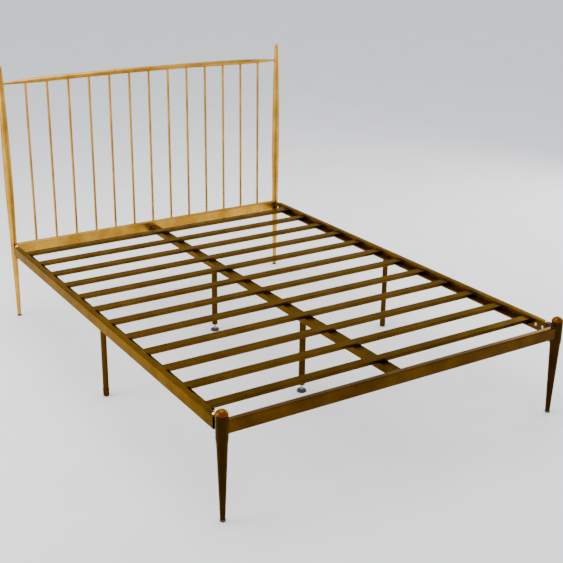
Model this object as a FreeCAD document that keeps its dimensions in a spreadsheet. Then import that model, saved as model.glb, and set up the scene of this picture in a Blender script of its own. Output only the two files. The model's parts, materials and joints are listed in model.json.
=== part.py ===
# Metal bed frame for a 1500 x 2000 mm mattress, as a parametric FreeCAD document.
# Frame: +X to the sleeper's side, +Y towards the headboard, +Z up, in millimetres.
# The origin is the middle of the whole frame's footprint, at floor level.
import FreeCAD, Part
import os
import Sketcher

DIMENSIONS = {
    # Whole frame
    "bed_width": 1520,           # left post axis to right post axis
    "bed_length": 2090,          # foot post axis to head post axis
    "head_height": 1250,         # floor to the tip of the head posts
    "rail_underside": 330,       # floor to the underside of every rail
    # Rectangular rail tube
    "rail_height": 50,
    "rail_thickness": 25,
    "rail_corner": 5,
    "tube_wall": 1.5,
    # Posts
    "post_toe_dia": 19,          # bottom end of every post, above its glide
    "foot_post_dia": 45,         # straight part around the rails
    "foot_post_rise": 22,        # straight part above the rails
    "foot_leg_dia": 40,          # top of the long taper
    "shoulder_drop": 14,         # straight part below the rails
    "shoulder_height": 21,       # cone between straight part and taper
    "cap_height": 18,
    "cap_lip": 2.5,
    "cap_spigot": 14,
    "head_post_dia": 39,         # widest point of a head post
    "belly_height": 700,         # height of that widest point
    "taper_top_height": 600,     # where the straight lower taper ends
    "taper_top_dia": 38,
    "head_tip_dia": 21,
    "head_tip_height": 12,
    # Glides under the posts
    "glide_dia": 21,
    "glide_height": 9,
    "glide_edge": 1.5,
    "glide_spigot": 12,
    # Crest rail
    "crest_height": 1165,        # floor to the rail's axis at the posts
    "crest_rise": 12,            # arch at mid width
    "crest_dia": 25,
    "crest_end_dia": 8.5,
    "crest_taper": 210,          # length of each tapered end
    # Spindles
    "spindle_dia": 12,
    "spindle_wall": 1.2,
    "spindle_margin": 118,       # head post axis to the first spindle
    "spindle_seat": 10,          # depth in the lower rail
    # Joint between posts and side rails
    "joint_gap": 18,
    "bracket_thickness": 6,
    "bracket_drop": 25,          # reach below the rail
    "tongue_length": 75,
    "tongue_margin": 3,          # tongue to the rail's inner top and bottom
    "bolt_dia": 8,
    "bolt_head_dia": 14,
    "bolt_head_height": 4.4,
    "bolt_length": 8,
    "bolt_first": 20,            # rail end to the first bolt
    "bolt_spacing": 36,
    # Domed plugs in the side rails' top walls
    "plug_dia": 15,
    "plug_dome": 5.5,
    "plug_shank_dia": 7,
    "plug_length": 9,
    "plug_inset": 12,            # rail end to the plug's axis
    # Slats
    "ledge_width": 30,
    "ledge_thickness": 3,
    "ledge_setback": 80,         # from each rail end
    "slat_recess": 10,           # slat top below the rail top
    "slat_height": 15,
    "slat_width": 40,
    "slat_wall": 1,
    "slat_corner": 2.5,
    "slat_end_margin": 25,       # ledge end to the middle of the first slat
    "slat_cap_flange": 2.5,
    "slat_cap_plug": 14,
    # Middle legs under the slat ledges
    "mid_leg_dia": 25,
    "mid_leg_plate": 3,          # disc that closes the leg's top
    "mid_foot_dia": 27,
    "mid_foot_height": 34,
    "mid_foot_flat_dia": 12,
    "mid_foot_spigot": 12,
    # Centre beam and its legs
    "beam_height": 30,
    "beam_thickness": 40,
    "beam_corner": 3,
    "beam_end_gap": 2,
    "cradle_thickness": 3,
    "cradle_depth": 45,
    "cradle_cheek": 22,
    "centre_leg_dia": 28,
    "centre_leg_spacing": 760,
    "centre_leg_clearance": 34,  # floor to the tube's lower end
    # Levelling feet
    "stud_dia": 8,
    "stud_length": 46,
    "stud_collar_dia": 15,
    "stud_collar": 5,
    "pad_dia": 40,
    "pad_height": 9,
    "pad_edge": 2,
    "nut_height": 18,
    "nut_flange": 2,
    # Fits
    "press_gap": 0.1,            # radial, plugs and spigots
    "slip_gap": 0.3,             # radial, bolts and rods in plain holes
    "thread_gap": 0.05,          # radial, studs in their threads
}
SPINDLE_COUNT = 13
SLAT_COUNT = 12
CREST_STEPS = 4

doc = FreeCAD.newDocument("MetalBedFrame")
sheet = doc.addObject("Spreadsheet::Sheet", "Dims")
for row, (name, size) in enumerate(DIMENSIONS.items(), start=1):
    sheet.set("A%d" % row, name.replace("_", " "))
    sheet.set("B%d" % row, str(size))
    sheet.setAlias("B%d" % row, name)
doc.recompute()

# Places worked out from the driving dimensions, as expressions.
HALF_WIDTH = "(Dims.bed_width / 2)"
CENTRING = "((Dims.foot_post_dia - Dims.head_post_dia) / 4)"
FOOT_Y = "(%s - Dims.bed_length / 2)" % CENTRING
HEAD_Y = "(%s + Dims.bed_length / 2)" % CENTRING
RAIL_MID = "(Dims.rail_underside + Dims.rail_height / 2)"
RAIL_TOP = "(Dims.rail_underside + Dims.rail_height)"
FOOT_POST_TOP = "(%s + Dims.foot_post_rise)" % RAIL_TOP
SLAT_TOP = "(%s - Dims.slat_recess)" % RAIL_TOP
LEDGE_TOP = "(%s - Dims.slat_height)" % SLAT_TOP
BEAM_MID = "(%s - Dims.beam_height / 2)" % LEDGE_TOP
BEAM_UNDERSIDE = "(%s - Dims.beam_height)" % LEDGE_TOP
RAIL_FACE = "(Dims.rail_thickness / 2)"
FOOT_RAIL_END = "(Dims.foot_post_dia / 2 + Dims.joint_gap)"


def head_post_radius(height):
    """Outer radius of a head post's straight lower taper at a height above the floor."""
    share = "(%s - Dims.glide_height) / (Dims.taper_top_height - Dims.glide_height)" % height
    return "((Dims.post_toe_dia + (Dims.taper_top_dia - Dims.post_toe_dia) * %s) / 2)" % share


def head_post_upper_radius(height):
    """Outer radius of a head post between its widest point and its tip."""
    shrink = "(Dims.head_post_dia - Dims.head_tip_dia) / 2"
    span = "(Dims.head_height - Dims.head_tip_height - Dims.belly_height)"
    return "(Dims.head_post_dia / 2 - %s * ((%s - Dims.belly_height) / %s) ^ 2)" % (shrink, height, span)


HEAD_RAIL_END = "(%s + Dims.joint_gap)" % head_post_radius(RAIL_MID)
CREST_END = "(%s - %s)" % (HALF_WIDTH, head_post_upper_radius("Dims.crest_height"))
RAIL_SPAN = "(Dims.bed_length - %s - %s)" % (FOOT_RAIL_END, HEAD_RAIL_END)
RAIL_CENTRE_Y = "(%s + (%s - %s) / 2)" % (CENTRING, FOOT_RAIL_END, HEAD_RAIL_END)


def value(expression):
    return float(sheet.evalExpression(expression))


def point(step):
    return FreeCAD.Vector(value(step[-2]), value(step[-1]), 0)


def new_body(label, at=("0", "0", "0"), turn=None):
    """An empty body whose own origin stands at a place given by three expressions."""
    body = doc.addObject("PartDesign::Body", label)
    body.Label = label
    if turn:
        axis, angle = turn
        body.Placement = FreeCAD.Placement(FreeCAD.Vector(), FreeCAD.Rotation(FreeCAD.Vector(*axis), angle))
    for axis_name, expression in zip("xyz", at):
        body.setExpression("Placement.Base." + axis_name, expression)
    return body


def new_sketch(body, plane_role, offset="0"):
    """An empty sketch on one of the body's own origin planes, lifted along its normal."""
    sketch = body.newObject("Sketcher::SketchObject", body.Label + "_sketch")
    plane = [item for item in body.Origin.OriginFeatures if item.Role == plane_role][0]
    sketch.AttachmentSupport = [(plane, "")]
    sketch.MapMode = "FlatFace"
    sketch.setExpression("AttachmentOffset.Base.z", offset)
    return sketch


def lock(sketch, geometry, end, step):
    """Hold one sketch point at the place that two expressions give."""
    for kind, axis_geometry, expression in (("DistanceX", -2, step[0]), ("DistanceY", -1, step[1])):
        if expression == "0":
            sketch.addConstraint(Sketcher.Constraint("PointOnObject", geometry, end, axis_geometry))
        else:
            number = sketch.addConstraint(
                Sketcher.Constraint(kind, -1, 1, geometry, end, value(expression)))
            sketch.setExpression("Constraints[%d]" % number, expression)


def add_loop(sketch, loop):
    """Draw a closed outline. A pair is a corner; four values are an arc's middle and its end."""
    first = sketch.GeometryCount
    ends = [point(step) for step in loop]
    for index, step in enumerate(loop):
        if len(step) == 4:
            middle = FreeCAD.Vector(value(step[0]), value(step[1]), 0)
            sketch.addGeometry(Part.Arc(ends[index - 1], middle, ends[index]), False)
        else:
            sketch.addGeometry(Part.LineSegment(ends[index - 1], ends[index]), False)
    arrivals = []
    for index in range(len(loop)):
        near = sketch.getPoint(first + index, 2).distanceToPoint(ends[index])
        far = sketch.getPoint(first + index, 1).distanceToPoint(ends[index])
        arrivals.append(2 if near < far else 1)
    for index, step in enumerate(loop):
        edge = first + index
        following = (index + 1) % len(loop)
        sketch.addConstraint(Sketcher.Constraint(
            "Coincident", edge, arrivals[index], first + following, 3 - arrivals[following]))
        lock(sketch, edge, arrivals[index], step[-2:])
    for index, step in enumerate(loop):
        if len(step) == 4:
            middle = FreeCAD.Vector(value(step[0]), value(step[1]), 0)
            mark = sketch.addGeometry(Part.Point(middle), True)
            lock(sketch, mark, 1, step[:2])
            sketch.addConstraint(Sketcher.Constraint("PointOnObject", mark, 1, first + index))


def add_circle(sketch, radius, across="0", up="0"):
    """Draw a circle of a given radius about a given centre."""
    centre = FreeCAD.Vector(value(across), value(up), 0)
    circle = sketch.addGeometry(Part.Circle(centre, FreeCAD.Vector(0, 0, 1), value(radius)), False)
    if across == "0" and up == "0":
        sketch.addConstraint(Sketcher.Constraint("Coincident", circle, 3, -1, 1))
    else:
        lock(sketch, circle, 3, (across, up))
    number = sketch.addConstraint(Sketcher.Constraint("Radius", circle, value(radius)))
    sketch.setExpression("Constraints[%d]" % number, radius)


def rounded_rectangle(width, height, corner):
    """Outline of a rectangle about the origin with round corners."""
    half_w = "(%s) / 2" % width
    half_h = "(%s) / 2" % height
    inset_w = "(%s - (%s))" % (half_w, corner)
    inset_h = "(%s - (%s))" % (half_h, corner)
    arc_w = "(%s - (%s) * (1 - sqrt(0.5)))" % (half_w, corner)
    arc_h = "(%s - (%s) * (1 - sqrt(0.5)))" % (half_h, corner)
    return [(inset_w, "-" + half_h), (arc_w, "-" + arc_h, half_w, "-" + inset_h),
            (half_w, inset_h), (arc_w, arc_h, inset_w, half_h),
            ("-" + inset_w, half_h), ("-" + arc_w, arc_h, "-" + half_w, inset_h),
            ("-" + half_w, "-" + inset_h), ("-" + arc_w, "-" + arc_h, "-" + inset_w, "-" + half_h)]


def rectangle(left, bottom, right, top):
    return [(left, bottom), (right, bottom), (right, top), (left, top)]


def pad(body, sketch, length, midplane=False, reverse=False):
    feature = body.newObject("PartDesign::Pad", body.Label + "_pad")
    feature.Profile = sketch
    feature.setExpression("Length", length)
    feature.Midplane = midplane
    feature.Reversed = reverse
    body.Tip = feature
    return feature


def cut(body, sketch, reverse=False, length=None):
    """Pocket a sketch through everything on one side of it, or to a stated depth."""
    feature = body.newObject("PartDesign::Pocket", body.Label + "_pocket")
    feature.Profile = sketch
    if length:
        feature.setExpression("Length", length)
    else:
        feature.Type = "ThroughAll"
    feature.Reversed = reverse
    body.Tip = feature
    return feature


def turned(label, loop, at=("0", "0", "0"), turn=None):
    """A body of revolution: the loop gives radius across and height up."""
    body = new_body(label, at, turn)
    sketch = new_sketch(body, "XZ_Plane")
    add_loop(sketch, loop)
    feature = body.newObject("PartDesign::Revolution", label + "_revolution")
    feature.Profile = sketch
    feature.ReferenceAxis = (sketch, ["V_Axis"])
    feature.Angle = 360
    body.Tip = feature
    return body


def dome_step(radius, rise, apex):
    """The arc step that runs from a rim up to the apex of a dome on the axis."""
    slant = "sqrt((%s) ^ 2 + (%s) ^ 2)" % (radius, rise)
    drop = "(((%s) ^ 2 + (%s) ^ 2 - (%s) * %s) / (2 * (%s)))" % (radius, rise, radius, slant, rise)
    return ("%s / 2" % slant, "%s - %s" % (apex, drop), "0", apex)


def group(label, members):
    """Identical pieces kept together in one node as separate solids."""
    compound = doc.addObject("Part::Compound", label)
    compound.Label = label
    compound.Links = members
    return compound


nodes = []


# ---------------------------------------------------------------- posts
def head_post(label, x):
    """Hollow post: straight taper below, long curves to its widest point and up to a round tip."""
    tip = "(Dims.head_height - Dims.head_tip_height)"
    toe = "Dims.glide_height"

    def side(inset):
        belly = "(Dims.head_post_dia / 2 - %s)" % inset
        low = "(Dims.taper_top_dia / 2 - %s)" % inset
        high = "(Dims.head_tip_dia / 2 - %s)" % inset
        return {"toe": "(Dims.post_toe_dia / 2 - %s)" % inset, "low": low, "belly": belly, "high": high,
                "low_mid": "(%s - (%s - %s) / 4)" % (belly, belly, low),
                "high_mid": "(%s - (%s - %s) / 4)" % (belly, belly, high)}

    low_mid_z = "((Dims.taper_top_height + Dims.belly_height) / 2)"
    high_mid_z = "((Dims.belly_height + %s) / 2)" % tip
    out = side("0")
    inn = side("Dims.tube_wall")
    loop = [(inn["toe"], toe), (out["toe"], toe), (out["low"], "Dims.taper_top_height"),
            (out["low_mid"], low_mid_z, out["belly"], "Dims.belly_height"),
            (out["high_mid"], high_mid_z, out["high"], tip),
            dome_step("Dims.head_tip_dia / 2", "Dims.head_tip_height", "Dims.head_height"),
            ("0", tip), (inn["high"], tip),
            (inn["high_mid"], high_mid_z, inn["belly"], "Dims.belly_height"),
            (inn["low_mid"], low_mid_z, inn["low"], "Dims.taper_top_height")]
    return turned(label, loop, (x, HEAD_Y, "0"))


def foot_post(label, x):
    """Hollow post: straight around the rails, a short shoulder, then a long tapered leg."""
    shoulder_top = "(Dims.rail_underside - Dims.shoulder_drop)"
    shoulder_low = "(%s - Dims.shoulder_height)" % shoulder_top
    toe = "Dims.glide_height"
    loop = []
    for inset, order in (("0", 1), ("Dims.tube_wall", -1)):
        side = [("Dims.post_toe_dia / 2 - " + inset, toe),
                ("Dims.foot_leg_dia / 2 - " + inset, shoulder_low),
                ("Dims.foot_post_dia / 2 - " + inset, shoulder_top),
                ("Dims.foot_post_dia / 2 - " + inset, FOOT_POST_TOP)]
        loop += side[::order]
    return turned(label, loop, (x, FOOT_Y, "0"))


def foot_post_cap(label, x):
    """Low domed plug with a short lip and a spigot inside the post."""
    spigot = "(Dims.foot_post_dia / 2 - Dims.tube_wall - Dims.press_gap)"
    rim = "Dims.foot_post_dia / 2"
    rise = "(Dims.cap_height - Dims.cap_lip)"
    loop = [("0", "-Dims.cap_spigot"), (spigot, "-Dims.cap_spigot"), (spigot, "0"), (rim, "0"),
            (rim, "Dims.cap_lip"), dome_step(rim, rise, "Dims.cap_height")]
    return turned(label, loop, (x, FOOT_Y, FOOT_POST_TOP))


def post_glide(label, x, y):
    """Plastic glide: a ring a little wider than the post's toe, with a spigot inside it."""
    rim = "Dims.glide_dia / 2"
    spigot = "(Dims.post_toe_dia / 2 - Dims.tube_wall - Dims.press_gap)"
    top = "(Dims.glide_height + Dims.glide_spigot)"
    loop = [("0", "0"), (rim + " - Dims.glide_edge", "0"), (rim, "Dims.glide_edge"),
            (rim, "Dims.glide_height"), (spigot, "Dims.glide_height"), (spigot, top), ("0", top)]
    return turned(label, loop, (x, y, "0"))


SIDES = (("left", "-" + HALF_WIDTH), ("right", HALF_WIDTH))
glides = []
for side_name, side_x in SIDES:
    nodes.append(head_post("head_post_" + side_name, side_x))
    nodes.append(foot_post("foot_post_" + side_name, side_x))
    nodes.append(foot_post_cap("foot_post_cap_" + side_name, side_x))
    glides.append(post_glide("glide_head_" + side_name, side_x, HEAD_Y))
    glides.append(post_glide("glide_foot_" + side_name, side_x, FOOT_Y))
nodes.append(group("post_glides", glides))


# ---------------------------------------------------------------- headboard
SPINDLE_PITCH = "((Dims.bed_width - 2 * Dims.spindle_margin) / %d)" % (SPINDLE_COUNT - 1)
FIRST_SPINDLE = "(Dims.spindle_margin - Dims.bed_width / 2)"
SPINDLE_HOLE = "(Dims.spindle_dia / 2 + Dims.press_gap)"


def spindle_holes(body, plane_offset, upwards):
    """A row of spindle holes cut down or up from a level plane inside the body."""
    sketch = new_sketch(body, "XY_Plane", plane_offset)
    add_circle(sketch, SPINDLE_HOLE, FIRST_SPINDLE, "0")
    first = cut(body, sketch, reverse=upwards)
    doc.recompute()
    row = body.newObject("PartDesign::LinearPattern", body.Label + "_holes")
    row.Originals = [first]
    row.Direction = (sketch, ["H_Axis"])
    row.setExpression("Length", "Dims.bed_width - 2 * Dims.spindle_margin")
    row.Occurrences = SPINDLE_COUNT
    body.Tip = row


def crest_arch(x):
    """Height of the crest rail's axis above its ends, at a place across the bed."""
    return "(Dims.crest_rise * (1 - (%s / %s) ^ 2))" % (x, CREST_END)


def crest_stations():
    """Places across the bed and outer radii that shape the crest rail, left end to right end."""
    stations = []
    for step in range(CREST_STEPS + 1):
        share = step / CREST_STEPS
        x = "(%s - Dims.crest_taper * %g)" % (CREST_END, share)
        swell = "(Dims.crest_dia - Dims.crest_end_dia) * sin(%g deg)" % (90 * share)
        stations.append((x, "((Dims.crest_end_dia + %s) / 2)" % swell))
    middle = [("(%s - Dims.crest_taper) / 2" % CREST_END, "(Dims.crest_dia / 2)")]
    right = stations + middle
    left = [("(-%s)" % x, radius) for x, radius in right]
    return left + [("0", "(Dims.crest_dia / 2)")] + right[::-1]


def crest_loft(body, kind, stations, inset):
    sections = []
    for x, radius in stations:
        sketch = new_sketch(body, "YZ_Plane", x)
        add_circle(sketch, "%s - %s" % (radius, inset), "0", crest_arch(x))
        sections.append(sketch)
    loft = body.newObject(kind, body.Label + "_loft")
    loft.Profile = sections[0]
    loft.Sections = sections[1:]
    body.Tip = loft


def crest_rail(label):
    """Hollow rail with a gentle arch, thin towards both posts and shaped round them."""
    body = new_body(label, ("0", HEAD_Y, "Dims.crest_height"))
    stations = crest_stations()
    crest_loft(body, "PartDesign::AdditiveLoft", stations, "0")
    doc.recompute()
    crest_loft(body, "PartDesign::SubtractiveLoft", stations[1:-1], "Dims.tube_wall")
    spindle_holes(body, "Dims.crest_rise / 2", upwards=False)
    return body


def spindle(label, x):
    """Round tube from the lower rail's top wall up into the crest rail."""
    low = "(%s - Dims.spindle_seat)" % RAIL_TOP
    body = new_body(label, (x, HEAD_Y, low))
    sketch = new_sketch(body, "XY_Plane")
    add_circle(sketch, "Dims.spindle_dia / 2")
    add_circle(sketch, "Dims.spindle_dia / 2 - Dims.spindle_wall")
    top = "(Dims.crest_height + %s - Dims.tube_wall)" % crest_arch(x)
    pad(body, sketch, "%s - %s" % (top, low))
    return body


def rail_section(body, plane_role):
    sketch = new_sketch(body, plane_role)
    add_loop(sketch, rounded_rectangle("Dims.rail_thickness", "Dims.rail_height", "Dims.rail_corner"))
    add_loop(sketch, rounded_rectangle(
        "Dims.rail_thickness - 2 * Dims.tube_wall", "Dims.rail_height - 2 * Dims.tube_wall",
        "Dims.rail_corner - Dims.tube_wall"))
    return sketch


def shape_round_post(body, x, low_radius, high_radius):
    """Hollow out a rail's end to sit against a post that stands at x."""
    cone = body.newObject("PartDesign::SubtractiveCone", body.Label + "_saddle")
    cone.setExpression("Radius1", low_radius)
    cone.setExpression("Radius2", high_radius)
    cone.setExpression("Height", "Dims.rail_height")
    cone.setExpression("Placement.Base.x", x)
    cone.setExpression("Placement.Base.z", "-Dims.rail_height / 2")
    body.Tip = cone


# The bracket plates stand in line with the side rails' inner walls.
TONGUE_X = "(%s - Dims.tube_wall - Dims.slip_gap - Dims.bracket_thickness / 2)" % RAIL_FACE
PLATE_NEAR = "(%s - Dims.bracket_thickness / 2)" % TONGUE_X
PLATE_FAR = "(%s + Dims.bracket_thickness / 2)" % TONGUE_X


def cross_rail(label, y, low_radius, high_radius):
    """Rectangular tube with ends shaped round two posts. One wider than a post stops beside the
    bracket plates instead of passing them."""
    body = new_body(label, ("0", y, RAIL_MID))
    plate_start = "sqrt((%s) ^ 2 - %s ^ 2)" % (low_radius, PLATE_NEAR)
    shortening = "((Dims.rail_thickness / 2 + Dims.slip_gap > %s) ? (%s + Dims.slip_gap) : 0)" % (
        plate_start, PLATE_FAR)
    pad(body, rail_section(body, "YZ_Plane"), "Dims.bed_width - 2 * " + shortening, midplane=True)
    doc.recompute()
    for side_name, side_x in SIDES:
        shape_round_post(body, side_x, low_radius, high_radius)
        doc.recompute()
    return body


nodes.append(crest_rail("head_crest_rail"))
for index in range(SPINDLE_COUNT):
    spindle_x = "(%s * %d)" % (SPINDLE_PITCH, index - SPINDLE_COUNT // 2)
    nodes.append(spindle("head_spindle_%02d" % (index + 1), spindle_x))
lower_rail = cross_rail("head_lower_rail", HEAD_Y, head_post_radius("Dims.rail_underside"),
                        head_post_radius(RAIL_TOP))
spindle_holes(lower_rail, "0", upwards=True)
nodes.append(lower_rail)
nodes.append(cross_rail("foot_rail", FOOT_Y, "Dims.foot_post_dia / 2", "Dims.foot_post_dia / 2"))


# ---------------------------------------------------------------- side rails and brackets
BOLT_HOLE = "(Dims.bolt_dia / 2 + Dims.slip_gap)"
BOLT_STEPS = ("Dims.bolt_first", "(Dims.bolt_first + Dims.bolt_spacing)")


def side_rail(label, x, inward):
    """Rectangular tube; each end has two bolt holes in its inner wall and a plug hole on top."""
    body = new_body(label, (x, RAIL_CENTRE_Y, RAIL_MID))
    pad(body, rail_section(body, "XZ_Plane"), RAIL_SPAN, midplane=True)
    doc.recompute()
    holes = new_sketch(body, "YZ_Plane")
    for step in BOLT_STEPS:
        add_circle(holes, BOLT_HOLE, "-(%s / 2 - %s)" % (RAIL_SPAN, step), "0")
        add_circle(holes, BOLT_HOLE, "(%s / 2 - %s)" % (RAIL_SPAN, step), "0")
    cut(body, holes, reverse=inward > 0)
    doc.recompute()
    plug_holes = new_sketch(body, "XY_Plane")
    for direction in ("-", ""):
        place = "%s(%s / 2 - Dims.plug_inset)" % (direction, RAIL_SPAN)
        add_circle(plug_holes, "Dims.plug_shank_dia / 2 + Dims.press_gap", "0", place)
    cut(body, plug_holes, reverse=True)
    return body


def bracket(label, x, y, inward, along, low_radius, high_radius, rail_end):
    """Flat plate on a post with a slanted lower end and a tongue inside the side rail."""
    body = new_body(label, ("%s + %d * %s" % (x, inward, TONGUE_X), y, RAIL_MID))
    half_rail = "Dims.rail_height / 2"
    tongue = "(Dims.rail_height / 2 - Dims.tube_wall - Dims.tongue_margin)"
    tongue_end = "%s + Dims.tongue_length" % rail_end
    low_start = "sqrt((%s) ^ 2 - %s ^ 2)" % (low_radius, PLATE_NEAR)
    high_start = "sqrt((%s) ^ 2 - %s ^ 2)" % (high_radius, PLATE_NEAR)
    outline = [(low_start, "-(%s + Dims.bracket_drop)" % half_rail), (rail_end, "-" + half_rail),
               (rail_end, "-" + tongue), (tongue_end, "-" + tongue), (tongue_end, tongue),
               (rail_end, tongue), (rail_end, half_rail), (high_start, half_rail)]
    sketch = new_sketch(body, "YZ_Plane")
    add_loop(sketch, [("%d * (%s)" % (along, step[0]), step[1]) for step in outline])
    pad(body, sketch, "Dims.bracket_thickness", midplane=True)
    doc.recompute()
    holes = new_sketch(body, "YZ_Plane", "-Dims.bracket_thickness")
    for step in BOLT_STEPS:
        across = "%d * (%s + %s)" % (along, rail_end, step)
        add_circle(holes, "Dims.bolt_dia / 2 + Dims.thread_gap", across, "0")
    cut(body, holes, reverse=True)
    return body


def domed_pin(label, head_radius, dome, shank, length, at, turn=None):
    """Round pin with a domed head; the shank points down its own axis."""
    loop = [("0", "-%s" % length), (shank, "-%s" % length), (shank, "0"), (head_radius, "0"),
            dome_step(head_radius, dome, dome)]
    return turned(label, loop, at, turn)


bracket_bolts = []
rail_plugs = []
for side_name, side_x in SIDES:
    inward = 1 if side_name == "left" else -1
    nodes.append(side_rail("side_rail_" + side_name, side_x, inward))
    bracket_ends = (("foot", FOOT_Y, 1, "Dims.foot_post_dia / 2", "Dims.foot_post_dia / 2", FOOT_RAIL_END),
                    ("head", HEAD_Y, -1, head_post_radius("(Dims.rail_underside - Dims.bracket_drop)"),
                     head_post_radius(RAIL_TOP), HEAD_RAIL_END))
    for end_name, end_y, along, low_radius, high_radius, rail_end in bracket_ends:
        nodes.append(bracket("bracket_%s_%s" % (end_name, side_name), side_x, end_y, inward, along,
                             low_radius, high_radius, rail_end))
        for number, step in enumerate(BOLT_STEPS):
            bolt_x = "%s + %d * %s" % (side_x, inward, RAIL_FACE)
            bolt_y = "%s + %d * (%s + %s)" % (end_y, along, rail_end, step)
            bracket_bolts.append(domed_pin(
                "rail_bolt_%s_%s_%d" % (end_name, side_name, number), "Dims.bolt_head_dia / 2",
                "Dims.bolt_head_height", "Dims.bolt_dia / 2", "Dims.bolt_length",
                (bolt_x, bolt_y, RAIL_MID), ((0, 1, 0), 90 * inward)))
        plug_y = "%s + %d * (%s + Dims.plug_inset)" % (end_y, along, rail_end)
        rail_plugs.append(domed_pin(
            "rail_plug_%s_%s" % (end_name, side_name), "Dims.plug_dia / 2", "Dims.plug_dome",
            "Dims.plug_shank_dia / 2", "Dims.plug_length", (side_x, plug_y, RAIL_TOP)))
nodes.append(group("bracket_bolts", bracket_bolts))
nodes.append(group("rail_plugs", rail_plugs))


# ---------------------------------------------------------------- slats and their ledges
LEDGE_SPAN = "(%s - 2 * Dims.ledge_setback)" % RAIL_SPAN
SLAT_PITCH = "((%s - 2 * Dims.slat_end_margin) / %d)" % (LEDGE_SPAN, SLAT_COUNT - 1)
SLAT_HALF = "(%s - %s - Dims.slip_gap - Dims.slat_cap_flange)" % (HALF_WIDTH, RAIL_FACE)


def ledge_x(rail_x, inward):
    """Place across the bed of the middle of a ledge, from its rail's place and direction inwards."""
    return "(%s + %d * (%s + Dims.ledge_width / 2))" % (rail_x, inward, RAIL_FACE)


def slat_ledge(label, x, inward):
    """Flat strip along the inside of a side rail, under the slat ends."""
    body = new_body(label, (ledge_x(x, inward), RAIL_CENTRE_Y, "%s - Dims.ledge_thickness" % LEDGE_TOP))
    sketch = new_sketch(body, "XY_Plane")
    add_loop(sketch, rectangle("-Dims.ledge_width / 2", "-%s / 2" % LEDGE_SPAN,
                               "Dims.ledge_width / 2", "%s / 2" % LEDGE_SPAN))
    pad(body, sketch, "Dims.ledge_thickness")
    return body


def slat_y(index):
    return "(%s - %s / 2 + Dims.slat_end_margin + %d * %s)" % (
        RAIL_CENTRE_Y, LEDGE_SPAN, index, SLAT_PITCH)


def slat(label, y):
    """Flat steel tube across the bed."""
    body = new_body(label, ("0", y, "%s - Dims.slat_height / 2" % SLAT_TOP))
    sketch = new_sketch(body, "YZ_Plane")
    add_loop(sketch, rounded_rectangle("Dims.slat_width", "Dims.slat_height", "Dims.slat_corner"))
    add_loop(sketch, rounded_rectangle(
        "Dims.slat_width - 2 * Dims.slat_wall", "Dims.slat_height - 2 * Dims.slat_wall",
        "Dims.slat_corner - Dims.slat_wall"))
    pad(body, sketch, "2 * " + SLAT_HALF, midplane=True)
    return body


def slat_cap(label, x, y, inward):
    """Plastic plug in a slat's end: a flange outside and a plug inside."""
    body = new_body(label, (x, y, "%s - Dims.slat_height / 2" % SLAT_TOP))
    flange = new_sketch(body, "YZ_Plane")
    add_loop(flange, rounded_rectangle("Dims.slat_width", "Dims.slat_height", "Dims.slat_corner"))
    pad(body, flange, "Dims.slat_cap_flange", reverse=inward > 0)
    doc.recompute()
    plug = new_sketch(body, "YZ_Plane")
    play = "2 * (Dims.slat_wall + Dims.press_gap)"
    add_loop(plug, rounded_rectangle("Dims.slat_width - " + play, "Dims.slat_height - " + play,
                                     "Dims.slat_corner - Dims.slat_wall"))
    pad(body, plug, "Dims.slat_cap_plug", reverse=inward < 0)
    return body


for side_name, side_x in SIDES:
    nodes.append(slat_ledge("slat_ledge_" + side_name, side_x, 1 if side_name == "left" else -1))
slat_caps = []
for index in range(SLAT_COUNT):
    nodes.append(slat("slat_%02d" % (index + 1), slat_y(index)))
    slat_caps.append(slat_cap("slat_cap_%02d_left" % (index + 1), "-" + SLAT_HALF, slat_y(index), 1))
    slat_caps.append(slat_cap("slat_cap_%02d_right" % (index + 1), SLAT_HALF, slat_y(index), -1))
nodes.append(group("slat_end_caps", slat_caps))


# ---------------------------------------------------------------- middle legs
LEDGE_UNDERSIDE = "(%s - Dims.ledge_thickness)" % LEDGE_TOP


def mid_leg(label, x):
    """Slim tube closed by a disc against the underside of a slat ledge."""
    inner = "(Dims.mid_leg_dia / 2 - Dims.tube_wall)"
    outer = "Dims.mid_leg_dia / 2"
    plate_low = "(%s - Dims.mid_leg_plate)" % LEDGE_UNDERSIDE
    loop = [(inner, "Dims.mid_foot_height"), (outer, "Dims.mid_foot_height"),
            (outer, LEDGE_UNDERSIDE), ("0", LEDGE_UNDERSIDE), ("0", plate_low), (inner, plate_low)]
    return turned(label, loop, (x, RAIL_CENTRE_Y, "0"))


def mid_leg_foot(label, x):
    """Bullet-shaped foot with a small flat to stand on and a spigot inside the leg."""
    rim = "Dims.mid_foot_dia / 2"
    flat = "Dims.mid_foot_flat_dia / 2"
    spigot = "(Dims.mid_leg_dia / 2 - Dims.tube_wall - Dims.press_gap)"
    curve = "(%s - %s)" % (rim, flat)
    bulge_r = "%s + %s * sqrt(0.5)" % (flat, curve)
    bulge_z = "%s * (1 - sqrt(0.5))" % curve
    top = "Dims.mid_foot_height"
    spigot_top = "(Dims.mid_foot_height + Dims.mid_foot_spigot)"
    loop = [("0", "0"), (flat, "0"), (bulge_r, bulge_z, rim, curve), (rim, top), (spigot, top),
            (spigot, spigot_top), ("0", spigot_top)]
    return turned(label, loop, (x, RAIL_CENTRE_Y, "0"))


for side_name, side_x in SIDES:
    leg_x = ledge_x(side_x, 1 if side_name == "left" else -1)
    nodes.append(mid_leg("mid_leg_" + side_name, leg_x))
    nodes.append(mid_leg_foot("mid_leg_foot_" + side_name, leg_x))


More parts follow.
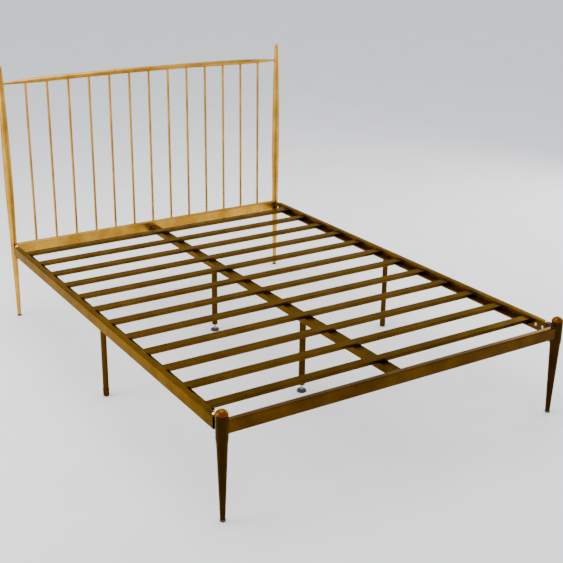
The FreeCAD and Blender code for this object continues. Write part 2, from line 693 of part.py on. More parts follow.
# ---------------------------------------------------------------- centre beam
BEAM_FOOT_Y = "(%s + %s + Dims.cradle_thickness + Dims.beam_end_gap)" % (FOOT_Y, RAIL_FACE)
BEAM_HEAD_Y = "(%s - %s - Dims.cradle_thickness - Dims.beam_end_gap)" % (HEAD_Y, RAIL_FACE)
BEAM_SPAN = "(%s - %s)" % (BEAM_HEAD_Y, BEAM_FOOT_Y)
BEAM_CENTRE_Y = "((%s + %s) / 2)" % (BEAM_HEAD_Y, BEAM_FOOT_Y)
CRADLE_HALF = "(Dims.beam_thickness / 2 + Dims.slip_gap + Dims.cradle_thickness)"


def centre_beam(label):
    body = new_body(label, ("0", BEAM_CENTRE_Y, BEAM_MID))
    sketch = new_sketch(body, "XZ_Plane")
    add_loop(sketch, rounded_rectangle("Dims.beam_thickness", "Dims.beam_height", "Dims.beam_corner"))
    add_loop(sketch, rounded_rectangle(
        "Dims.beam_thickness - 2 * Dims.tube_wall", "Dims.beam_height - 2 * Dims.tube_wall",
        "Dims.beam_corner - Dims.tube_wall"))
    pad(body, sketch, BEAM_SPAN, midplane=True)
    return body


def beam_cradle(label, y, inward):
    """Open seat of bent plate on a cross rail: a back, a floor and two cheeks round the beam."""
    body = new_body(label, ("0", y, BEAM_UNDERSIDE))
    outer_low = "-Dims.cradle_thickness"
    inner = "(Dims.beam_thickness / 2 + Dims.slip_gap)"
    section = [("-" + CRADLE_HALF, outer_low), (CRADLE_HALF, outer_low), (CRADLE_HALF, "Dims.cradle_cheek"),
               (inner, "Dims.cradle_cheek"), (inner, "0"), ("-" + inner, "0"),
               ("-" + inner, "Dims.cradle_cheek"), ("-" + CRADLE_HALF, "Dims.cradle_cheek")]
    trough = new_sketch(body, "XZ_Plane")
    add_loop(trough, section)
    pad(body, trough, "Dims.cradle_depth", reverse=inward > 0)
    doc.recompute()
    back = new_sketch(body, "XZ_Plane")
    add_loop(back, rectangle("-" + CRADLE_HALF, outer_low, CRADLE_HALF, "Dims.cradle_cheek"))
    pad(body, back, "Dims.cradle_thickness", reverse=inward > 0)
    return body


nodes.append(centre_beam("centre_beam"))
nodes.append(beam_cradle("beam_cradle_foot", "%s + %s" % (FOOT_Y, RAIL_FACE), 1))
nodes.append(beam_cradle("beam_cradle_head", "%s - %s" % (HEAD_Y, RAIL_FACE), -1))


# ---------------------------------------------------------------- centre legs and levelling feet
STUD_LOW = "(Dims.pad_height - Dims.pad_edge)"
COLLAR_TOP = "(Dims.pad_height + Dims.stud_collar)"


def centre_leg(label, y):
    """Round tube under the beam, open at its lower end for the threaded plug."""
    inner = "(Dims.centre_leg_dia / 2 - Dims.tube_wall)"
    outer = "Dims.centre_leg_dia / 2"
    low = "Dims.centre_leg_clearance"
    loop = [(inner, low), (outer, low), (outer, BEAM_UNDERSIDE), (inner, BEAM_UNDERSIDE)]
    return turned(label, loop, ("0", y, "0"))


def leveller_nut(label, y):
    """Threaded plug in the lower end of a centre leg."""
    bore = "(Dims.stud_dia / 2 + Dims.thread_gap)"
    plug = "(Dims.centre_leg_dia / 2 - Dims.tube_wall - Dims.press_gap)"
    low = "(Dims.centre_leg_clearance - Dims.nut_flange)"
    top = "(Dims.centre_leg_clearance + Dims.nut_height)"
    loop = [(bore, low), ("Dims.centre_leg_dia / 2", low),
            ("Dims.centre_leg_dia / 2", "Dims.centre_leg_clearance"),
            (plug, "Dims.centre_leg_clearance"), (plug, top), (bore, top)]
    return turned(label, loop, ("0", y, "0"))


def leveller_stud(label, y):
    """Threaded stud with a collar that stands on the pad and a round toe inside it."""
    shank = "Dims.stud_dia / 2"
    collar = "Dims.stud_collar_dia / 2"
    top = "(Dims.pad_height + Dims.stud_length)"
    loop = [("0", STUD_LOW), (shank, STUD_LOW), (shank, "Dims.pad_height"), (collar, "Dims.pad_height"),
            (collar, COLLAR_TOP), (shank, COLLAR_TOP), (shank, top), ("0", top)]
    return turned(label, loop, ("0", y, "0"))


def leveller_pad(label, y):
    """Round plastic pad with a shallow seat for the stud's toe."""
    seat = "(Dims.stud_dia / 2 + Dims.thread_gap)"
    rim = "Dims.pad_dia / 2"
    loop = [("0", "0"), (rim, "0"), (rim, "Dims.pad_height - Dims.pad_edge"),
            (rim + " - Dims.pad_edge", "Dims.pad_height"), (seat, "Dims.pad_height"),
            (seat, STUD_LOW), ("0", STUD_LOW)]
    return turned(label, loop, ("0", y, "0"))


nuts = []
for end_name, direction in (("foot", "-"), ("head", "")):
    leg_y = "(%s + %sDims.centre_leg_spacing / 2)" % (BEAM_CENTRE_Y, direction)
    nodes.append(centre_leg("centre_leg_" + end_name, leg_y))
    nodes.append(leveller_stud("leveller_stud_" + end_name, leg_y))
    nodes.append(leveller_pad("leveller_pad_" + end_name, leg_y))
    nuts.append(leveller_nut("nut_" + end_name, leg_y))
nodes.append(group("leveller_nuts", nuts))


# ---------------------------------------------------------------- check and write
doc.recompute()
for item in doc.Objects:
    if "Invalid" in item.State or "Error" in item.State:
        raise RuntimeError("%s did not rebuild: %s" % (item.Label, item.State))
for node in nodes:
    if node.Shape.isNull() or not node.Shape.isValid():
        raise RuntimeError("%s has no valid shape" % node.Label)
os.makedirs("parts", exist_ok=True)
for node in nodes:
    node.Shape.exportStep("parts/%s.step" % node.Label)
print("%d sub-parts written" % len(nodes))
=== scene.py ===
"""Metal bed frame in antique gold powder coat: finishes, weld beads, bolts and levelling feet."""
import json
import math

import bpy
from mathutils import Matrix, Vector


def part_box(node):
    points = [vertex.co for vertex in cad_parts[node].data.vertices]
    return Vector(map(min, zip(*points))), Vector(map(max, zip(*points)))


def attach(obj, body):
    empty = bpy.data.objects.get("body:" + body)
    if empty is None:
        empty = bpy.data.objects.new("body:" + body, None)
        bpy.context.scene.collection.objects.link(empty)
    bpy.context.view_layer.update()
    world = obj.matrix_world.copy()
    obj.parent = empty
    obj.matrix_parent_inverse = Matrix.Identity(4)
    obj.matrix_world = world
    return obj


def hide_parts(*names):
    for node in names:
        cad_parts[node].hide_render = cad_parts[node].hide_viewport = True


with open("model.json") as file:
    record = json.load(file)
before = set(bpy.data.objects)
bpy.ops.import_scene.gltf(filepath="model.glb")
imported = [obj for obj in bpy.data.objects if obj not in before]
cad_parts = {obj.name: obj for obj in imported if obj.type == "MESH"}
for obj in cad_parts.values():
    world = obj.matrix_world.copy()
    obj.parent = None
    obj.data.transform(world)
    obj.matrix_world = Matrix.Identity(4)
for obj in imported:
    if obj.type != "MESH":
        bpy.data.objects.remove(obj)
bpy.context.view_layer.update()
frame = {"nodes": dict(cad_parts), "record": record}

record = frame["record"]
slot_of_node = {part["node"]: part["material_slot"] for part in record["subparts"]}

MM = 0.001
SIDES = ("left", "right")
SPINDLES = ["head_spindle_%02d" % number for number in range(1, 14)]


def centre(node):
    """Middle of a CAD node's box."""
    low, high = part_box(node)
    return (low + high) / 2


def radius_of(node):
    """Half the width of a CAD node that is round about its own upright axis."""
    low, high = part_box(node)
    return (high.x - low.x) / 2


# ------------------------------------------------------------------ materials
def linear(hex_colour):
    """sRGB hex to linear RGBA."""
    values = [int(hex_colour[i:i + 2], 16) / 255 for i in (1, 3, 5)]
    return [v / 12.92 if v <= 0.04045 else ((v + 0.055) / 1.055) ** 2.4 for v in values] + [1.0]


def add(tree, kind, sockets=None, **settings):
    """Add a node, set its properties, and set or link its input sockets."""
    node = tree.nodes.new(kind)
    for name, setting in settings.items():
        setattr(node, name, setting)
    for name, given in (sockets or {}).items():
        if isinstance(given, bpy.types.NodeSocket):
            tree.links.new(given, node.inputs[name])
        else:
            node.inputs[name].default_value = given
    return node


def new_material(name):
    material = bpy.data.materials.new(name)
    material.use_nodes = True
    tree = material.node_tree
    tree.nodes.clear()
    place = add(tree, "ShaderNodeTexCoord")
    output = add(tree, "ShaderNodeOutputMaterial")
    return material, tree, place.outputs["Object"], output


def ramp(tree, factor, stops):
    """A colour ramp with (position, RGBA) stops."""
    node = add(tree, "ShaderNodeValToRGB", {"Fac": factor})
    elements = node.color_ramp.elements
    elements[0].position, elements[0].color = stops[0]
    elements[1].position, elements[1].color = stops[1]
    for position, colour in stops[2:]:
        elements.new(position).color = colour
    return node.outputs["Color"]


def gold_powder_coat(name, light, deep, tones, edge):
    """Satin metallic powder coat baked on steel tube: a gold pigment with a fine orange peel, slightly
    cloudy where the powder lay thicker, and polished by hands and bedding in small patches. The tones
    darken the foot end, the part just past it, and the sides: painted shade, in part also the coat's own
    colour; edge is its colour at a low angle."""
    foot_tone, middle_tone, side_tone = tones
    material, tree, place, output = new_material(name)
    cloud = add(tree, "ShaderNodeTexNoise", {"Vector": place, "Scale": 1 / 0.09, "Detail": 3.0})
    tone = ramp(tree, cloud.outputs["Fac"], [(0.36, linear(deep)), (0.64, linear(light))])
    # The coat is one antique gold. The tones darken it along the sides and more at the foot end, where it
    # catches less light, so they stand in for shade as well as for the coat's own colour.
    axes = add(tree, "ShaderNodeSeparateXYZ", {"Vector": place})
    along = add(tree, "ShaderNodeMapRange", {
        "Value": axes.outputs["Y"], "From Min": -1.05, "From Max": 1.05})
    # Painted shade along the bed: darkest at the foot end, less dark along the sides, none at the head end.
    painted_shade = ramp(tree, along.outputs["Result"], [
        (0.02, linear(foot_tone)), (0.989, linear("#FFFFFF")), (0.1, linear(middle_tone)),
        (0.5, linear(side_tone)), (0.975, linear(side_tone))])
    # The painted shade is multiplied into the coat's colour.
    shade_darkened = add(tree, "ShaderNodeMix", {"A": tone, "B": painted_shade}, data_type="RGBA", blend_type="MULTIPLY")
    shade_darkened.inputs["Factor"].default_value = 1.0
    # Powder speckle of about 1 mm, drawn at 3 mm so that it still shows across a room.
    speckle = add(tree, "ShaderNodeTexNoise", {"Vector": place, "Scale": 1 / 0.003, "Detail": 2.0})
    fleck = add(tree, "ShaderNodeMapRange", {
        "Value": speckle.outputs["Fac"], "From Min": 0.3, "From Max": 0.7, "To Min": 0.88, "To Max": 1.12})
    speckled = add(tree, "ShaderNodeVectorMath", {
        0: shade_darkened.outputs["Result"], "Scale": fleck.outputs["Result"]}, operation="SCALE")
    # Rubbed patches are 30 to 50 mm long.
    rub = add(tree, "ShaderNodeTexNoise", {"Vector": place, "Scale": 1 / 0.04, "Detail": 4.0})
    rough = add(tree, "ShaderNodeMapRange", {
        "Value": rub.outputs["Fac"], "From Min": 0.35, "From Max": 0.7, "To Min": 0.36, "To Max": 0.24})
    # Orange peel of a powder coat is 2 to 3 mm across.
    peel = add(tree, "ShaderNodeTexNoise", {"Vector": place, "Scale": 1 / 0.0025, "Detail": 1.0})
    bump = add(tree, "ShaderNodeBump", {"Height": peel.outputs["Fac"], "Strength": 0.10, "Distance": 0.0004})
    shader = add(tree, "ShaderNodeBsdfPrincipled", {
        "Base Color": speckled.outputs["Vector"], "Metallic": 1.0, "Roughness": rough.outputs["Result"],
        "Normal": bump.outputs["Normal"], "Specular Tint": linear(edge)})
    tree.links.new(shader.outputs["BSDF"], output.inputs["Surface"])
    return material


def blackened_steel():
    """Steel plate, phosphated black and oiled: nearly black, with brown where the oil has dried."""
    material, tree, place, output = new_material("phosphated_black_steel")
    cloud = add(tree, "ShaderNodeTexNoise", {"Vector": place, "Scale": 1 / 0.015, "Detail": 5.0})
    tone = ramp(tree, cloud.outputs["Fac"], [(0.35, linear("#15110C")), (0.7, linear("#2B2115"))])
    rough = add(tree, "ShaderNodeMapRange", {
        "Value": cloud.outputs["Fac"], "From Min": 0.3, "From Max": 0.7, "To Min": 0.45, "To Max": 0.62})
    bump = add(tree, "ShaderNodeBump", {"Height": cloud.outputs["Fac"], "Strength": 0.1, "Distance": 0.0003})
    shader = add(tree, "ShaderNodeBsdfPrincipled", {
        "Base Color": tone, "Metallic": 0.6, "Roughness": rough.outputs["Result"],
        "Normal": bump.outputs["Normal"]})
    tree.links.new(shader.outputs["BSDF"], output.inputs["Surface"])
    return material


def moulded_plastic(name, light, deep, roughness):
    """Injection-moulded polyethylene or polypropylene: dull, a little waxy, with a fine spark-eroded
    grain of 0.8 mm."""
    material, tree, place, output = new_material(name)
    grain = add(tree, "ShaderNodeTexNoise", {"Vector": place, "Scale": 1 / 0.0008, "Detail": 2.0})
    scuff = add(tree, "ShaderNodeTexNoise", {"Vector": place, "Scale": 1 / 0.012, "Detail": 4.0})
    tone = ramp(tree, scuff.outputs["Fac"], [(0.4, linear(deep)), (0.75, linear(light))])
    rough = add(tree, "ShaderNodeMapRange", {
        "Value": scuff.outputs["Fac"], "From Min": 0.3, "From Max": 0.7,
        "To Min": roughness - 0.06, "To Max": roughness + 0.08})
    bump = add(tree, "ShaderNodeBump", {"Height": grain.outputs["Fac"], "Strength": 0.2, "Distance": 0.0001})
    shader = add(tree, "ShaderNodeBsdfPrincipled", {
        "Base Color": tone, "Roughness": rough.outputs["Result"], "Normal": bump.outputs["Normal"]})
    tree.links.new(shader.outputs["BSDF"], output.inputs["Surface"])
    return material


def zinc_plate():
    """Bright zinc plate on machined steel: cool grey with a faint yellow-blue cloud and turning marks."""
    material, tree, place, output = new_material("bright_zinc_plate")
    cloud = add(tree, "ShaderNodeTexNoise", {"Vector": place, "Scale": 1 / 0.006, "Detail": 3.0})
    tone = ramp(tree, cloud.outputs["Fac"], [(0.35, linear("#A9ABAC")), (0.7, linear("#C4C1B4"))])
    # Turning marks about 0.8 mm apart up the piece.
    marks = add(tree, "ShaderNodeTexWave", {"Vector": place, "Scale": 1 / 0.0025, "Distortion": 1.0},
                bands_direction="Z")
    bump = add(tree, "ShaderNodeBump", {"Height": marks.outputs["Fac"], "Strength": 0.08, "Distance": 0.0001})
    shader = add(tree, "ShaderNodeBsdfPrincipled", {
        "Base Color": tone, "Metallic": 1.0, "Roughness": 0.28, "Normal": bump.outputs["Normal"]})
    tree.links.new(shader.outputs["BSDF"], output.inputs["Surface"])
    return material


# Every gold finish below is the one antique gold coat; the three tones in each are painted shade along the
# bed.
FINISHES = {
    "frame_gold": gold_powder_coat(
        "antique_gold_powder_coat", "#CC9A38", "#AC7C24", ("#5E5434", "#7E7250", "#8C8060"), "#E2D8BE"),
    # Foot rail: a shaded copy of the same gold coat, its darker tone is painted shade.
    "foot_rail_gold_painted_shade": gold_powder_coat(
        "antique_gold_powder_coat_foot_rail_painted_shade", "#CC9A38", "#AC7C24", ("#645A3A", "#645A3A", "#645A3A"), "#FFF4E0"),
    # Legs and foot posts: a shaded copy of the same gold coat, its darker tones are painted shade.
    "leg_gold_painted_shade": gold_powder_coat(
        "antique_gold_powder_coat_leg_painted_shade", "#CC9A38", "#AC7C24", ("#40382A", "#5A5036", "#62583C"), "#F2E6CC"),
    # Deck: the same coat drawn with a darker base.
    "deck_gold": gold_powder_coat(
        "antique_gold_powder_coat_darker", "#A07A34", "#886424", ("#6E6040", "#8C7E5C", "#9C906E"),
        "#E2D8BE"),
    # Dome caps: a copper-gold copy of the same coat, spared the foot end's dark tone; its colour is painted
    # light and shade on the domes.
    "cap_gold_painted_light_and_shade": gold_powder_coat(
        "copper_gold_powder_coat_painted_light_and_shade", "#B87430", "#965A22", ("#988C78", "#988C78", "#988C78"), "#FFE8C8"),
    # Rail plugs: pale gold with no darkening, a painted highlight for the glint on their domed heads.
    "plug_gold_painted_highlight": gold_powder_coat(
        "pale_gold_painted_highlight", "#F4DDA4", "#E4C684", ("#FFFFFF", "#FFFFFF", "#FFFFFF"), "#FFFFFF"),
    "dark_steel": blackened_steel(),
    "glide_plastic": moulded_plastic("dark_brown_polyethylene", "#4A3A28", "#2E2418", 0.5),
    "black_plastic": moulded_plastic("black_polypropylene", "#26262A", "#161618", 0.55),
    "zinc_steel": zinc_plate(),
}

# Pieces drawn with another finish than their material slot's, by the start of their names: lit and shaded
# copies of the one gold coat, that is painted light and shade.
OWN_FINISH = {
    "foot_post_cap": "cap_gold_painted_light_and_shade", "foot_post": "leg_gold_painted_shade", "foot_rail": "foot_rail_gold_painted_shade",
    "mid_leg": "leg_gold_painted_shade", "centre_leg": "leg_gold_painted_shade", "rail_plugs": "plug_gold_painted_highlight",
}
for node_name, node in frame["nodes"].items():
    for material_slot in node.material_slots:
        finish = next((own for start_of_name, own in OWN_FINISH.items()
                       if node_name.startswith(start_of_name)), slot_of_node[node_name])
        material_slot.material = FINISHES[finish]


# ------------------------------------------------------------------ modelling helpers
def start():
    """Nothing selected, object mode."""
    if bpy.context.mode != "OBJECT":
        bpy.ops.object.mode_set(mode="OBJECT")
    bpy.ops.object.select_all(action="DESELECT")


def hand_in(piece, name, slot_name, body, smooth_angle=35):
    """Name, finish and place a piece: its place goes into its mesh, and it rides on its body."""
    start()
    piece.select_set(True)
    bpy.context.view_layer.objects.active = piece
    bpy.ops.object.transform_apply(location=True, rotation=True, scale=True)
    bpy.ops.object.shade_smooth_by_angle(angle=math.radians(smooth_angle))
    piece.name = name
    piece.data.name = name
    piece.data.materials.clear()
    piece.data.materials.append(FINISHES[slot_name])
    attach(piece, body)
    return piece


def join(pieces):
    """Join loose pieces into the first one."""
    start()
    for piece in pieces:
        piece.select_set(True)
    bpy.context.view_layer.objects.active = pieces[0]
    bpy.ops.object.join()
    return pieces[0]


RIPPLE_SHARE = 0.14
RIPPLE_TURN = 2.1


def rippled_bead(points, radius, closed=True):
    """A weld bead along a path: a round fillet that swells and narrows a little, as laid by hand."""
    start()
    curve = bpy.data.curves.new("bead", "CURVE")
    curve.dimensions = "3D"
    curve.bevel_depth = radius
    curve.bevel_resolution = 2
    curve.use_fill_caps = not closed
    spline = curve.splines.new("POLY")
    spline.points.add(len(points) - 1)
    for index, (point, place) in enumerate(zip(spline.points, points)):
        point.co = (*place, 1.0)
        point.radius = 1.0 + RIPPLE_SHARE * math.sin(index * RIPPLE_TURN)
    spline.use_cyclic_u = closed
    bead = bpy.data.objects.new("bead", curve)
    bpy.context.scene.collection.objects.link(bead)
    bead.select_set(True)
    bpy.context.view_layer.objects.active = bead
    bpy.ops.object.convert(target="MESH")
    return bpy.context.view_layer.objects.active


def ring(middle, radius, axis, count):
    """Points of a circle about an axis."""
    turn = Vector((0, 0, 1)).rotation_difference(Vector(axis))
    return [Vector(middle) + turn @ Vector((radius * math.cos(a), radius * math.sin(a), 0))
            for a in (2 * math.pi * i / count for i in range(count))]


# ------------------------------------------------------------------ welds
BEAD = 1.6 * MM
FINE_BEAD = 1.3 * MM
BEAD_ANGLE = 60
RING_STEPS = 20
rail_low, rail_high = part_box("foot_rail")
RAIL_HALF_THICKNESS = (rail_high.y - rail_low.y) / 2
RAIL_CORNER = 5 * MM
RAIL_MID_Z = (rail_low.z + rail_high.z) / 2
RAIL_TOP = rail_high.z
FOOT_POST_RADIUS = radius_of("foot_post_cap_left")
CORNER_STEPS = 4
SIDE_STEPS = 8


def rail_outline(node):
    """Offsets (y, z) round the outside of a rail that runs across the bed."""
    low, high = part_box(node)
    half_z = (high.z - low.z) / 2
    corners = ((1, 1), (-1, 1), (-1, -1), (1, -1))

    def on_corner(corner, angle):
        return (corner[0] * (RAIL_HALF_THICKNESS - RAIL_CORNER) + RAIL_CORNER * math.cos(angle),
                corner[1] * (half_z - RAIL_CORNER) + RAIL_CORNER * math.sin(angle))

    outline = []
    for quarter, corner in enumerate(corners):
        for step in range(CORNER_STEPS + 1):
            angle = math.pi / 2 * (quarter + step / CORNER_STEPS)
            outline.append(on_corner(corner, angle))
        last = outline[-1]
        target = on_corner(corners[(quarter + 1) % len(corners)], angle)
        for step in range(1, SIDE_STEPS):
            share = step / SIDE_STEPS
            outline.append((last[0] + (target[0] - last[0]) * share,
                            last[1] + (target[1] - last[1]) * share))
    return outline


def head_post_radius(height):
    """Radius of a head post's straight lower taper."""
    toe_height, toe_radius = 9 * MM, 9.5 * MM
    top_height, top_radius = 600 * MM, 19 * MM
    return toe_radius + (top_radius - toe_radius) * (height - toe_height) / (top_height - toe_height)


def foot_post_radius(height):
    """Radius of a foot post, which is the same at every height of the rails."""
    return FOOT_POST_RADIUS


def rail_end_bead(rail, post, radius_at):
    """Fillet weld where a cross rail meets a round post."""
    axis = centre(post)
    inward = -1 if axis.x > 0 else 1
    points = []
    for dy, dz in rail_outline(rail):
        height = RAIL_MID_Z + dz
        reach = math.sqrt(max(radius_at(height) ** 2 - dy ** 2, 0))
        points.append((axis.x + inward * reach, axis.y + dy, height))
    return rippled_bead(points, BEAD)


PLATE_STEPS = 12
PLATE_BEAD_DROP = 4 * MM


def bracket_beads(bracket, post, radius_at):
    """Two upright beads, one each side of a bracket plate, against its post."""
    low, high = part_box(bracket)
    axis = centre(post)
    along = 1 if centre(bracket).y > axis.y else -1
    beads = []
    for plate_x in (low.x, high.x):
        points = []
        for step in range(PLATE_STEPS + 1):
            height = RAIL_TOP - PLATE_BEAD_DROP - (RAIL_TOP - rail_low.z) * step / PLATE_STEPS
            reach = math.sqrt(radius_at(height) ** 2 - (plate_x - axis.x) ** 2)
            points.append((plate_x, axis.y + along * reach, height))
        beads.append(rippled_bead(points, BEAD, closed=False))
    return beads


foot_beads = []
head_beads = []
plate_beads = []
for side in SIDES:
    foot_beads.append(rail_end_bead("foot_rail", "foot_post_" + side, foot_post_radius))
    head_beads.append(rail_end_bead("head_lower_rail", "head_post_" + side, head_post_radius))
    plate_beads += bracket_beads("bracket_foot_" + side, "foot_post_" + side, foot_post_radius)
    plate_beads += bracket_beads("bracket_head_" + side, "head_post_" + side, head_post_radius)
hand_in(join(foot_beads), "foot_rail_welds", "frame_gold", "root", BEAD_ANGLE)
hand_in(join(head_beads), "head_lower_rail_welds", "frame_gold", "root", BEAD_ANGLE)
hand_in(join(plate_beads), "bracket_welds", "dark_steel", "root", BEAD_ANGLE)

spindle_beads = []
for name in SPINDLES:
    axis = centre(name)
    foot_ring = ring((axis.x, axis.y, RAIL_TOP + 0.4 * MM), radius_of(name) + 0.6 * MM, (0, 0, 1),
                     RING_STEPS)
    spindle_beads.append(rippled_bead(foot_ring, FINE_BEAD))
hand_in(join(spindle_beads), "spindle_foot_welds", "frame_gold", "root", BEAD_ANGLE)

crest = frame["nodes"]["head_crest_rail"]
into_crest = crest.matrix_world.inverted()


def crest_underside(x, y):
    """Point on the underside of the crest rail above (x, y), or None beside the rail."""
    start_point = into_crest @ Vector((x, y, 1.0))
    upwards = (into_crest.to_3x3() @ Vector((0, 0, 1))).normalized()
    found, place = crest.ray_cast(start_point, upwards)[:2]
    return crest.matrix_world @ place if found else None


CREST_END_HEIGHT = 1165 * MM
CREST_END_BEAD_INSET = 5.5 * MM
CREST_END_BEAD_RADIUS = 4.6 * MM

crest_beads = []
for name in SPINDLES:
    axis = centre(name)
    outline = [crest_underside(point.x, point.y)
               for point in ring((axis.x, axis.y, 0), radius_of(name) + 0.3 * MM, (0, 0, 1), RING_STEPS)]
    if all(outline):
        crest_beads.append(rippled_bead(outline, FINE_BEAD))
crest_low, crest_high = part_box("head_crest_rail")
for end_x in (crest_low.x, crest_high.x):
    inward = 1 if end_x < 0 else -1
    face = (end_x + inward * CREST_END_BEAD_INSET, centre("head_crest_rail").y, CREST_END_HEIGHT)
    crest_beads.append(rippled_bead(ring(face, CREST_END_BEAD_RADIUS, (1, 0, 0), RING_STEPS), FINE_BEAD))
hand_in(join(crest_beads), "crest_rail_welds", "frame_gold", "root", BEAD_ANGLE)

STITCHES = 7
STITCH_STEPS = 10
STITCH_LENGTH = 42 * MM
LEG_RING_STEPS = 24

stitch_beads = []
for side in SIDES:
    ledge_low, ledge_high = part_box("slat_ledge_" + side)
    seam_x = ledge_low.x if side == "left" else ledge_high.x
    for number in range(STITCHES):
        middle_y = ledge_low.y + (ledge_high.y - ledge_low.y) * (number + 0.5) / STITCHES
        stitch_beads.append(rippled_bead(
            [(seam_x, middle_y + (step / STITCH_STEPS - 0.5) * STITCH_LENGTH, ledge_low.z)
             for step in range(STITCH_STEPS + 1)], BEAD, closed=False))
for name in ("mid_leg_left", "mid_leg_right", "centre_leg_foot", "centre_leg_head"):
    axis = centre(name)
    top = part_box(name)[1].z
    stitch_beads.append(rippled_bead(
        ring((axis.x, axis.y, top), radius_of(name) + 0.4 * MM, (0, 0, 1), LEG_RING_STEPS), BEAD))
hand_in(join(stitch_beads), "leg_and_ledge_welds", "deck_gold", "root", BEAD_ANGLE)


# ------------------------------------------------------------------ bolts with socket heads
SOCKET_SHARE = 0.42


def socket_bolt(seat, direction, head_radius, dome, shank_radius, shank_length):
    """Button-head bolt: a domed head with a hexagon socket, and a plain shank."""
    start()
    bpy.ops.mesh.primitive_cylinder_add(vertices=6, radius=head_radius * SOCKET_SHARE, depth=dome,
                                        end_fill_type="NGON", location=(0, 0, dome))
    tool = bpy.context.view_layer.objects.active
    start()
    bpy.ops.mesh.primitive_uv_sphere_add(segments=40, ring_count=24, radius=head_radius)
    head = bpy.context.view_layer.objects.active
    head.scale = (1, 1, dome / head_radius)
    bpy.ops.object.transform_apply(scale=True)
    bpy.ops.object.mode_set(mode="EDIT")
    bpy.ops.mesh.select_all(action="SELECT")
    bpy.ops.mesh.bisect(plane_co=(0, 0, 0), plane_no=(0, 0, 1), clear_inner=True, use_fill=True)
    bpy.ops.object.mode_set(mode="OBJECT")
    cutter = head.modifiers.new("socket", "BOOLEAN")
    cutter.operation = "DIFFERENCE"
    cutter.solver = "EXACT"
    cutter.object = tool
    bpy.ops.object.modifier_apply(modifier="socket")
    bpy.data.objects.remove(tool)
    start()
    bpy.ops.mesh.primitive_cylinder_add(vertices=32, radius=shank_radius, depth=shank_length,
                                        location=(0, 0, -shank_length / 2))
    shank = bpy.context.view_layer.objects.active
    bolt = join([head, shank])
    turn = Vector((0, 0, 1)).rotation_difference(Vector(direction)).to_matrix().to_4x4()
    bolt.data.transform(Matrix.Translation(seat) @ turn)
    return bolt


BOLT_SETBACKS = (20 * MM, 56 * MM)
BOLT_DOME = 4.4 * MM
BOLT_SHANK_RADIUS = 4 * MM
BOLT_SHANK_LENGTH = 8 * MM

rail_bolts = []
bolts_low, bolts_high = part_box("bracket_bolts")
bolt_head_radius = (bolts_high.z - bolts_low.z) / 2
for side, inward in (("left", 1), ("right", -1)):
    face_low, face_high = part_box("side_rail_" + side)
    face_x = face_high.x if inward > 0 else face_low.x
    places = [face_low.y + setback for setback in BOLT_SETBACKS]
    places += [face_high.y - setback for setback in BOLT_SETBACKS]
    for bolt_y in places:
        rail_bolts.append(socket_bolt((face_x, bolt_y, RAIL_MID_Z), (inward, 0, 0), bolt_head_radius,
                                      BOLT_DOME, BOLT_SHANK_RADIUS, BOLT_SHANK_LENGTH))
rail_bolts = hand_in(join(rail_bolts), "bracket_socket_bolts", "zinc_steel", "root")
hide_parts("bracket_bolts")


# ------------------------------------------------------------------ levelling studs
PITCH = 1.25 * MM
COLLAR_HEIGHT = 5 * MM
CORE_RADIUS = 3.45 * MM


def levelling_stud(end):
    """Stud with a hexagon collar, a plain core and a raised thread."""
    node = "leveller_stud_" + end
    low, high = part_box(node)
    axis = centre(node)
    collar_radius = radius_of(node)
    pad_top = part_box("leveller_pad_" + end)[1].z
    start()
    bpy.ops.mesh.primitive_cylinder_add(vertices=6, radius=collar_radius, depth=COLLAR_HEIGHT,
                                        location=(axis.x, axis.y, pad_top + COLLAR_HEIGHT / 2))
    collar = bpy.context.view_layer.objects.active
    softened = collar.modifiers.new("softened", "BEVEL")
    softened.width = 0.6 * MM
    softened.segments = 3
    bpy.ops.object.modifier_apply(modifier="softened")
    start()
    bpy.ops.mesh.primitive_cylinder_add(vertices=32, radius=CORE_RADIUS, depth=high.z - low.z,
                                        location=(axis.x, axis.y, (high.z + low.z) / 2))
    core = bpy.context.view_layer.objects.active
    start()
    thread_start = pad_top + COLLAR_HEIGHT + PITCH
    turns = int((high.z - thread_start) / PITCH) - 1
    bpy.ops.mesh.primitive_circle_add(vertices=3, radius=0.6 * MM, fill_type="NOTHING")
    thread = bpy.context.view_layer.objects.active
    thread.data.transform(Matrix.Translation((CORE_RADIUS - 0.02 * MM, 0, 0))
                          @ Matrix.Rotation(math.pi / 2, 4, "X") @ Matrix.Rotation(-math.pi / 2, 4, "Z"))
    winding = thread.modifiers.new("winding", "SCREW")
    winding.screw_offset = PITCH
    winding.iterations = turns
    winding.steps = 20
    winding.render_steps = 20
    bpy.ops.object.modifier_apply(modifier="winding")
    bpy.ops.object.mode_set(mode="EDIT")
    bpy.ops.mesh.select_all(action="SELECT")
    bpy.ops.mesh.remove_doubles(threshold=0.00001)
    bpy.ops.mesh.select_non_manifold()
    bpy.ops.mesh.fill()
    bpy.ops.mesh.select_all(action="SELECT")
    bpy.ops.mesh.normals_make_consistent(inside=False)
    bpy.ops.object.mode_set(mode="OBJECT")
    thread.location = (axis.x, axis.y, thread_start)
    stud = hand_in(join([collar, core, thread]), "levelling_screw_" + end, "zinc_steel", "stud_" + end, 30)
    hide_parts(node)


for end in ("foot", "head"):
    levelling_stud(end)


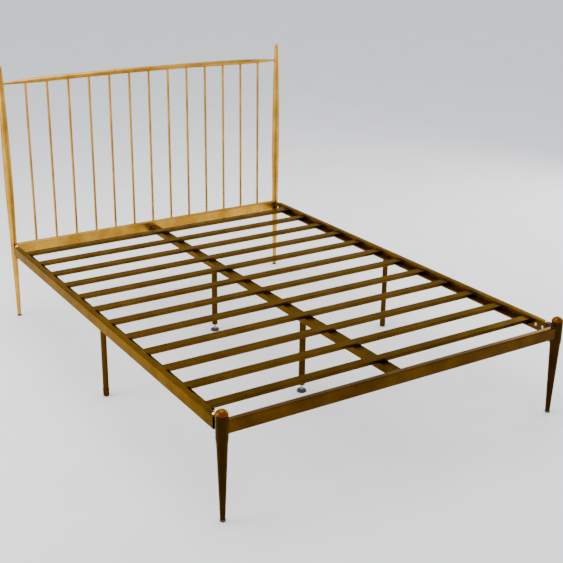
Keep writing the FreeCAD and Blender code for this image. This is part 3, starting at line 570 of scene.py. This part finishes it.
# ------------------------------------------------------------------ stage, light and camera
def studio():
    """Pale seamless floor, two tall side softboxes, a top softbox and a bright, even surround."""
    start()
    bpy.ops.mesh.primitive_plane_add(size=60, location=(0, 0, 0))
    floor = bpy.context.view_layer.objects.active
    floor.name = "studio_floor"
    material, tree, place, output = new_material("matt_white_floor_paint")
    mottle = add(tree, "ShaderNodeTexNoise", {"Vector": place, "Scale": 3.0, "Detail": 2.0})
    tone = ramp(tree, mottle.outputs["Fac"], [(0.3, linear("#F4F4F4")), (0.7, linear("#F8F8F8"))])
    shader = add(tree, "ShaderNodeBsdfPrincipled", {"Base Color": tone, "Roughness": 0.9})
    tree.links.new(shader.outputs["BSDF"], output.inputs["Surface"])
    floor.data.materials.append(material)

    world = bpy.data.worlds.new("studio_surround")
    world.use_nodes = True
    world.node_tree.nodes["Background"].inputs["Color"].default_value = (0.93, 0.95, 1.0, 1.0)
    world.node_tree.nodes["Background"].inputs["Strength"].default_value = 1.1
    bpy.context.scene.world = world

    for name, place, aim, width, height, power in (
            ("left_softbox", (-3.8, 0.9, 1.8), (0, 0, 0.5), 3.0, 2.4, 110),
            ("right_softbox", (3.8, 0.2, 1.8), (0, 0, 0.5), 3.0, 2.4, 90),
            ("top_softbox", (-0.4, 0.6, 4.4), (0, 0.4, 0), 3.4, 3.4, 140)):
        light = bpy.data.lights.new(name, "AREA")
        light.shape = "RECTANGLE"
        light.size = width
        light.size_y = height
        light.energy = power
        lamp = bpy.data.objects.new(name, light)
        lamp.location = place
        lamp.rotation_euler = (Vector(aim) - Vector(place)).to_track_quat("-Z", "Y").to_euler()
        bpy.context.scene.collection.objects.link(lamp)


def camera():
    """Standing at the left foot corner, looking over the bed towards the headboard."""
    lens = bpy.data.cameras.new("viewpoint")
    lens.sensor_width = 36
    lens.lens = 64.0
    lens.shift_x = 0.0713
    lens.shift_y = -0.029
    eye = bpy.data.objects.new("viewpoint", lens)
    yaw, pitch, roll = -0.5305, 0.3438, -0.0013
    ahead = Vector((-math.sin(yaw) * math.cos(pitch), math.cos(yaw) * math.cos(pitch), -math.sin(pitch)))
    eye.matrix_world = (Matrix.Translation((-2.160, -3.556, 1.942))
                        @ ahead.to_track_quat("-Z", "Y").to_matrix().to_4x4()
                        @ Matrix.Rotation(roll, 4, "Z"))
    bpy.context.scene.collection.objects.link(eye)
    bpy.context.scene.camera = eye


studio()
camera()

start()
